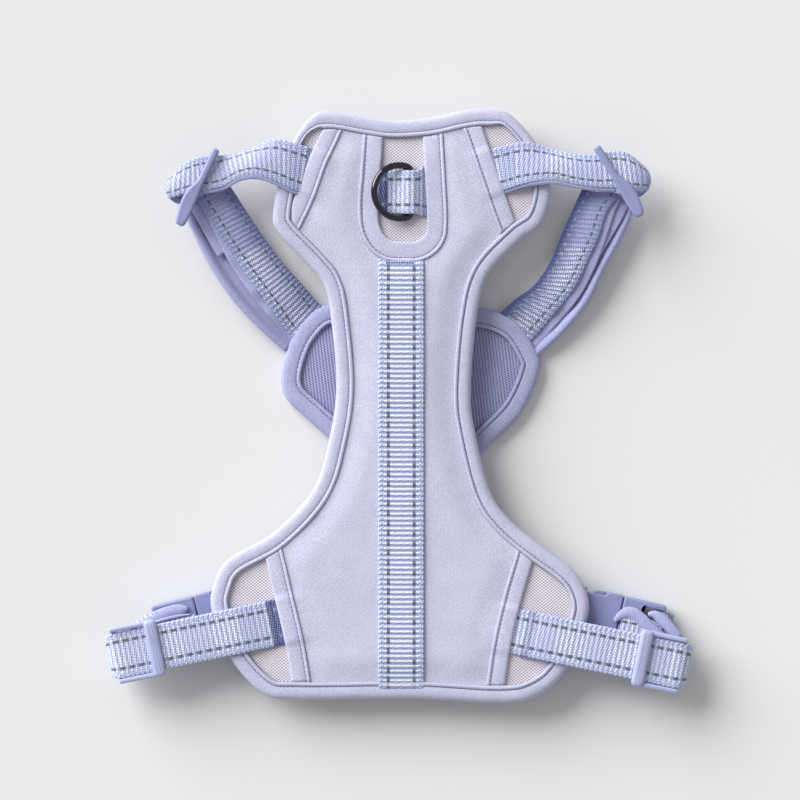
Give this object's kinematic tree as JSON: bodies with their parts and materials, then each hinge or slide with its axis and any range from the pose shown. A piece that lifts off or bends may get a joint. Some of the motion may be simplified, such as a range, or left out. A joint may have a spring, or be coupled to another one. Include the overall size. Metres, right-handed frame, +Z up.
{
  "type": "no pull dog harness",
  "caption": "Padded no-pull dog harness lying flat: a back panel over a chest panel, joined by adjustable neck and belly straps, side-release buckles and leash rings.",
  "frame": {"origin": "centre of the laid-out harness's footprint, on the surface that it lies on", "axes": "+X to the harness's right as it lies, +Y from the belly end towards the neck end, +Z up"},
  "size_m": [0.3206, 0.323, 0.0285],
  "materials": {
    "softshell": "smooth knitted softshell, matt",
    "face_mesh": "pinkish lilac woven mesh with small open holes",
    "chest_mesh": "soft air mesh with columns of small holes",
    "foam": "soft closed-cell padding, hidden",
    "binding": "stretch knit binding tape with a stitched inner lip",
    "backing": "soft tape sewn under the webbing",
    "webbing": "ribbed polyester webbing with two grey reflective threads",
    "buckle_plastic": "moulded acetal, satin",
    "ring_metal": "black nickel plated steel wire, glossy"
  },
  "bodies": {
    "harness": {"back_lining": "face_mesh", "back_foam": "foam", "back_face": "face_mesh", "back_binding": "binding", "back_overlay": "softshell", "window_band": "binding", "overlay_band_upper_left": "binding", "overlay_band_upper_right": "binding", "overlay_band_lower_left": "binding", "overlay_band_lower_right": "binding", "spine_webbing": "webbing", "ring_webbing": "webbing", "chest_shell": "softshell", "chest_foam": "foam", "chest_lining": "chest_mesh", "chest_binding": "binding", "front_ring_loop": "webbing", "neck_webbing_left": "webbing", "neck_backing_left": "backing", "neck_sleeve_webbing_left": "webbing", "neck_sleeve_left": "backing", "belly_webbing_left": "webbing", "belly_backing_left": "backing", "chest_strap_left": "webbing", "buckle_plug_left": "buckle_plastic", "neck_webbing_right": "webbing", "neck_backing_right": "backing", "neck_sleeve_webbing_right": "webbing", "neck_sleeve_right": "backing", "belly_webbing_right": "webbing", "belly_backing_right": "backing", "chest_strap_right": "webbing", "buckle_plug_right": "buckle_plastic"},
    "leash_ring": {"leash_ring": "ring_metal"},
    "front_ring": {"front_ring": "ring_metal"},
    "neck_slider_left": {"neck_slider_left": "buckle_plastic"},
    "belly_slider_left": {"belly_slider_left": "buckle_plastic"},
    "buckle_socket_left": {"buckle_socket_left": "buckle_plastic"},
    "buckle_prong_left_front": {"buckle_prong_left_front": "buckle_plastic"},
    "buckle_prong_left_rear": {"buckle_prong_left_rear": "buckle_plastic"},
    "neck_slider_right": {"neck_slider_right": "buckle_plastic"},
    "belly_slider_right": {"belly_slider_right": "buckle_plastic"},
    "buckle_socket_right": {"buckle_socket_right": "buckle_plastic"},
    "buckle_prong_right_front": {"buckle_prong_right_front": "buckle_plastic"},
    "buckle_prong_right_rear": {"buckle_prong_right_rear": "buckle_plastic"}
  },
  "joints": [
    {"name": "leash_ring_flip", "type": "hinge", "parent": "harness", "child": "leash_ring", "pos_m": [0.006, 0.1158, 0.0202], "axis": [0, 1, 0], "range_deg": [0, 126]},
    {"name": "front_ring_flip", "type": "hinge", "parent": "harness", "child": "front_ring", "pos_m": [0.0064, 0.0526, 0.0038], "axis": [1, 0, 0], "range_deg": [-90, 22]},
    {"name": "neck_slider_left_slide", "type": "slide", "parent": "harness", "child": "neck_slider_left", "axis": [0.9743, 0.2251, 0], "range_m": [0, 0.008]},
    {"name": "neck_slider_right_slide", "type": "slide", "parent": "harness", "child": "neck_slider_right", "axis": [-0.9945, 0.105, 0], "range_m": [0, 0.01]},
    {"name": "belly_slider_left_slide", "type": "slide", "parent": "harness", "child": "belly_slider_left", "axis": [0.9789, 0.2045, 0], "range_m": [0, 0.02]},
    {"name": "belly_slider_right_slide", "type": "slide", "parent": "harness", "child": "belly_slider_right", "axis": [-0.9789, 0.2045, 0], "range_m": [0, 0.02]},
    {"name": "buckle_left_release", "type": "slide", "parent": "harness", "child": "buckle_socket_left", "axis": [0.971, 0.239, 0], "range_m": [0, 0.021], "deforming": ["chest_strap_left", "buckle_prong_left_front", "buckle_prong_left_rear"]},
    {"name": "buckle_left_front_prong", "type": "hinge", "parent": "harness", "child": "buckle_prong_left_front", "pos_m": [-0.10488, -0.12918, 0.007], "axis": [0, 0, 1], "range_deg": [0, 8], "stiffness_Nm_per_rad": 0.5},
    {"name": "buckle_left_rear_prong", "type": "hinge", "parent": "harness", "child": "buckle_prong_left_rear", "pos_m": [-0.10975, -0.10938, 0.007], "axis": [0, 0, 1], "range_deg": [-8, 0], "stiffness_Nm_per_rad": 0.5},
    {"name": "buckle_right_release", "type": "slide", "parent": "harness", "child": "buckle_socket_right", "axis": [-0.9752, 0.2215, 0], "range_m": [0, 0.021], "deforming": ["chest_strap_right", "buckle_prong_right_front", "buckle_prong_right_rear"]},
    {"name": "buckle_right_front_prong", "type": "hinge", "parent": "harness", "child": "buckle_prong_right_front", "pos_m": [0.12097, -0.10944, 0.007], "axis": [0, 0, 1], "range_deg": [0, 8], "stiffness_Nm_per_rad": 0.5},
    {"name": "buckle_right_rear_prong", "type": "hinge", "parent": "harness", "child": "buckle_prong_right_rear", "pos_m": [0.11645, -0.12934, 0.007], "axis": [0, 0, 1], "range_deg": [-8, 0], "stiffness_Nm_per_rad": 0.5}
  ],
  "couplings": [
    {"joint": "buckle_left_rear_prong", "follows": "buckle_left_front_prong", "ratio": -1},
    {"joint": "buckle_right_rear_prong", "follows": "buckle_right_front_prong", "ratio": -1}
  ]
}
